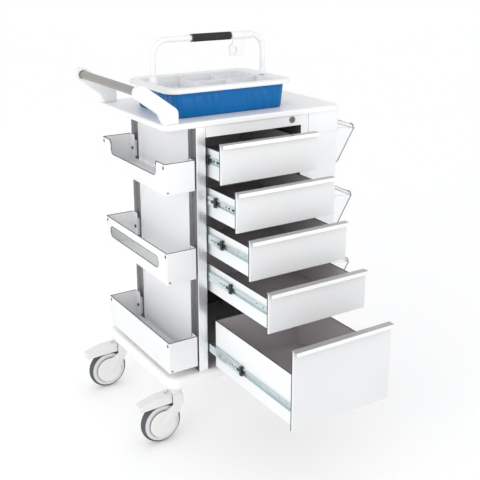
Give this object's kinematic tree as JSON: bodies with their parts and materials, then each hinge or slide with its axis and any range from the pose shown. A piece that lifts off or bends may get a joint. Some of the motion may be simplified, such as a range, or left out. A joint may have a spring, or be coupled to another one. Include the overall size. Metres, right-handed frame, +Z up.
{
  "type": "medication cart",
  "caption": "Ward medication cart: telescopic drawers shown open, hanging side bins, push handle, lockable swivel casters and a lift-off carry tote on the worktop.",
  "frame": {"origin": "on the floor, under the centre of the box of the whole cart with its drawers out as at rest", "axes": "+Z up, +X to the right of the drawer fronts, drawers pull out towards -Y"},
  "size_m": [0.819, 0.9574, 1.2655],
  "materials": {
    "white_moulding": "satin moulded",
    "silver_extrusion": "satin anodised",
    "grey_extrusion": "ribbed anodised",
    "panel_powder_coat": "fine powder coat",
    "white_powder_coat": "fine powder coat",
    "zinc_steel": "zinc plated",
    "lock_metal": "worn nickel",
    "white_bracket": "satin",
    "dark_fastener": "dark zinc",
    "clear_plastic": "clear polished plastic",
    "blue_plastic": "semi gloss",
    "white_plastic": "satin",
    "white_tube": "gloss powder coat",
    "black_foam": "matte foam",
    "grey_drawer_steel": "satin grey",
    "white_front": "satin laminate",
    "pull_aluminium": "brushed anodised",
    "caster_white": "satin",
    "wheel_white": "satin",
    "tyre_grey": "soft tyre"
  },
  "bodies": {
    "cart": {"base_plate": "white_moulding", "worktop": "white_moulding", "corner_posts": "silver_extrusion", "left_panel": "panel_powder_coat", "right_panel": "panel_powder_coat", "back_panel": "panel_powder_coat", "header_rail": "white_powder_coat", "bay_wall": "white_powder_coat", "column_cover": "white_powder_coat", "column_fascia": "white_powder_coat", "slide_rails": "zinc_steel", "lock_housing": "lock_metal", "handle_brackets": "white_bracket", "push_bar": "grey_extrusion", "side_bin_upper": "white_powder_coat", "side_bin_middle": "white_powder_coat", "side_bin_lower": "white_powder_coat", "bin_fasteners": "dark_fastener", "clear_bins": "clear_plastic"},
    "drawer_1": {"drawer_1_box": "grey_drawer_steel", "drawer_1_front": "white_front", "drawer_1_pull": "pull_aluminium"},
    "drawer_1_slides": {"drawer_1_middle_slides": "zinc_steel"},
    "drawer_2": {"drawer_2_box": "grey_drawer_steel", "drawer_2_front": "white_front", "drawer_2_pull": "pull_aluminium"},
    "drawer_2_slides": {"drawer_2_middle_slides": "zinc_steel"},
    "drawer_3": {"drawer_3_box": "grey_drawer_steel", "drawer_3_front": "white_front", "drawer_3_pull": "pull_aluminium"},
    "drawer_3_slides": {"drawer_3_middle_slides": "zinc_steel"},
    "drawer_4": {"drawer_4_box": "grey_drawer_steel", "drawer_4_front": "white_front", "drawer_4_pull": "pull_aluminium"},
    "drawer_4_slides": {"drawer_4_middle_slides": "zinc_steel"},
    "drawer_5": {"drawer_5_box": "grey_drawer_steel", "drawer_5_front": "white_front", "drawer_5_pull": "pull_aluminium"},
    "drawer_5_slides": {"drawer_5_middle_slides": "zinc_steel"},
    "caster_front_left": {"caster_fork_front_left": "caster_white"},
    "wheel_front_left": {"caster_wheel_front_left": "wheel_white", "caster_tyre_front_left": "tyre_grey"},
    "pedal_front_left": {"brake_pedal_front_left": "caster_white"},
    "caster_rear_left": {"caster_fork_rear_left": "caster_white"},
    "wheel_rear_left": {"caster_wheel_rear_left": "wheel_white", "caster_tyre_rear_left": "tyre_grey"},
    "pedal_rear_left": {"brake_pedal_rear_left": "caster_white"},
    "caster_front_right": {"caster_fork_front_right": "caster_white"},
    "wheel_front_right": {"caster_wheel_front_right": "wheel_white", "caster_tyre_front_right": "tyre_grey"},
    "caster_rear_right": {"caster_fork_rear_right": "caster_white"},
    "wheel_rear_right": {"caster_wheel_rear_right": "wheel_white", "caster_tyre_rear_right": "tyre_grey"},
    "lock_plug": {"lock_plug": "lock_metal"},
    "lock_bar": {"lock_bar": "zinc_steel"},
    "tote": {"tote_tub": "blue_plastic", "tote_rim": "white_plastic", "tote_bail": "white_tube", "tote_grip": "black_foam", "tote_clip": "white_plastic"}
  },
  "joints": [
    {"name": "drawer_1_slide", "type": "slide", "parent": "cart", "child": "drawer_1", "axis": [0, -1, 0], "range_m": [-0.086, 0.384]},
    {"name": "drawer_1_middle_slide", "type": "slide", "parent": "cart", "child": "drawer_1_slides", "axis": [0, -1, 0], "range_m": [-0.043, 0.192]},
    {"name": "drawer_2_slide", "type": "slide", "parent": "cart", "child": "drawer_2", "axis": [0, -1, 0], "range_m": [-0.172, 0.298]},
    {"name": "drawer_2_middle_slide", "type": "slide", "parent": "cart", "child": "drawer_2_slides", "axis": [0, -1, 0], "range_m": [-0.086, 0.149]},
    {"name": "drawer_3_slide", "type": "slide", "parent": "cart", "child": "drawer_3", "axis": [0, -1, 0], "range_m": [-0.2445, 0.2255]},
    {"name": "drawer_3_middle_slide", "type": "slide", "parent": "cart", "child": "drawer_3_slides", "axis": [0, -1, 0], "range_m": [-0.12225, 0.11275]},
    {"name": "drawer_4_slide", "type": "slide", "parent": "cart", "child": "drawer_4", "axis": [0, -1, 0], "range_m": [-0.341, 0.129]},
    {"name": "drawer_4_middle_slide", "type": "slide", "parent": "cart", "child": "drawer_4_slides", "axis": [0, -1, 0], "range_m": [-0.1705, 0.0645]},
    {"name": "drawer_5_slide", "type": "slide", "parent": "cart", "child": "drawer_5", "axis": [0, -1, 0], "range_m": [-0.4625, 0.0075]},
    {"name": "drawer_5_middle_slide", "type": "slide", "parent": "cart", "child": "drawer_5_slides", "axis": [0, -1, 0], "range_m": [-0.23125, 0.00375]},
    {"name": "caster_swivel_front_left", "type": "hinge", "parent": "cart", "child": "caster_front_left", "pos_m": [-0.2715, 0.02275, 0.18], "axis": [0, 0, 1], "continuous": true},
    {"name": "wheel_spin_front_left", "type": "hinge", "parent": "caster_front_left", "child": "wheel_front_left", "pos_m": [-0.3255, 0.02275, 0.068], "axis": [0, 1, 0], "continuous": true},
    {"name": "brake_pedal_front_left_rock", "type": "hinge", "parent": "caster_front_left", "child": "pedal_front_left", "pos_m": [-0.2995, 0.02275, 0.152], "axis": [0, 1, 0], "range_deg": [-8, 0]},
    {"name": "caster_swivel_rear_left", "type": "hinge", "parent": "cart", "child": "caster_rear_left", "pos_m": [-0.2715, 0.44275, 0.18], "axis": [0, 0, 1], "continuous": true},
    {"name": "wheel_spin_rear_left", "type": "hinge", "parent": "caster_rear_left", "child": "wheel_rear_left", "pos_m": [-0.3255, 0.44275, 0.068], "axis": [0, 1, 0], "continuous": true},
    {"name": "brake_pedal_rear_left_rock", "type": "hinge", "parent": "caster_rear_left", "child": "pedal_rear_left", "pos_m": [-0.2995, 0.44275, 0.152], "axis": [0, 1, 0], "range_deg": [-8, 0]},
    {"name": "caster_swivel_front_right", "type": "hinge", "parent": "cart", "child": "caster_front_right", "pos_m": [0.3145, 0.02275, 0.18], "axis": [0, 0, 1], "continuous": true},
    {"name": "wheel_spin_front_right", "type": "hinge", "parent": "caster_front_right", "child": "wheel_front_right", "pos_m": [0.2605, 0.02275, 0.068], "axis": [0, 1, 0], "continuous": true},
    {"name": "caster_swivel_rear_right", "type": "hinge", "parent": "cart", "child": "caster_rear_right", "pos_m": [0.3145, 0.44275, 0.18], "axis": [0, 0, 1], "continuous": true},
    {"name": "wheel_spin_rear_right", "type": "hinge", "parent": "caster_rear_right", "child": "wheel_rear_right", "pos_m": [0.2605, 0.44275, 0.068], "axis": [0, 1, 0], "continuous": true},
    {"name": "key_turn", "type": "hinge", "parent": "cart", "child": "lock_plug", "pos_m": [0.1525, 0.00675, 1.001], "axis": [0, 1, 0], "range_deg": [0, 90]},
    {"name": "lock_bar_lift", "type": "slide", "parent": "cart", "child": "lock_bar", "axis": [0, 0, 1], "range_m": [0, 0.01]},
    {"name": "tote_lift", "type": "slide", "parent": "cart", "child": "tote", "axis": [0, 0, 1], "range_m": [0, 0.3]}
  ],
  "couplings": [
    {"joint": "drawer_1_middle_slide", "follows": "drawer_1_slide", "ratio": 0.5},
    {"joint": "drawer_2_middle_slide", "follows": "drawer_2_slide", "ratio": 0.5},
    {"joint": "drawer_3_middle_slide", "follows": "drawer_3_slide", "ratio": 0.5},
    {"joint": "drawer_4_middle_slide", "follows": "drawer_4_slide", "ratio": 0.5},
    {"joint": "drawer_5_middle_slide", "follows": "drawer_5_slide", "ratio": 0.5},
    {"joint": "key_turn", "follows": "lock_bar_lift", "rad_per_m": 157.07}
  ]
}
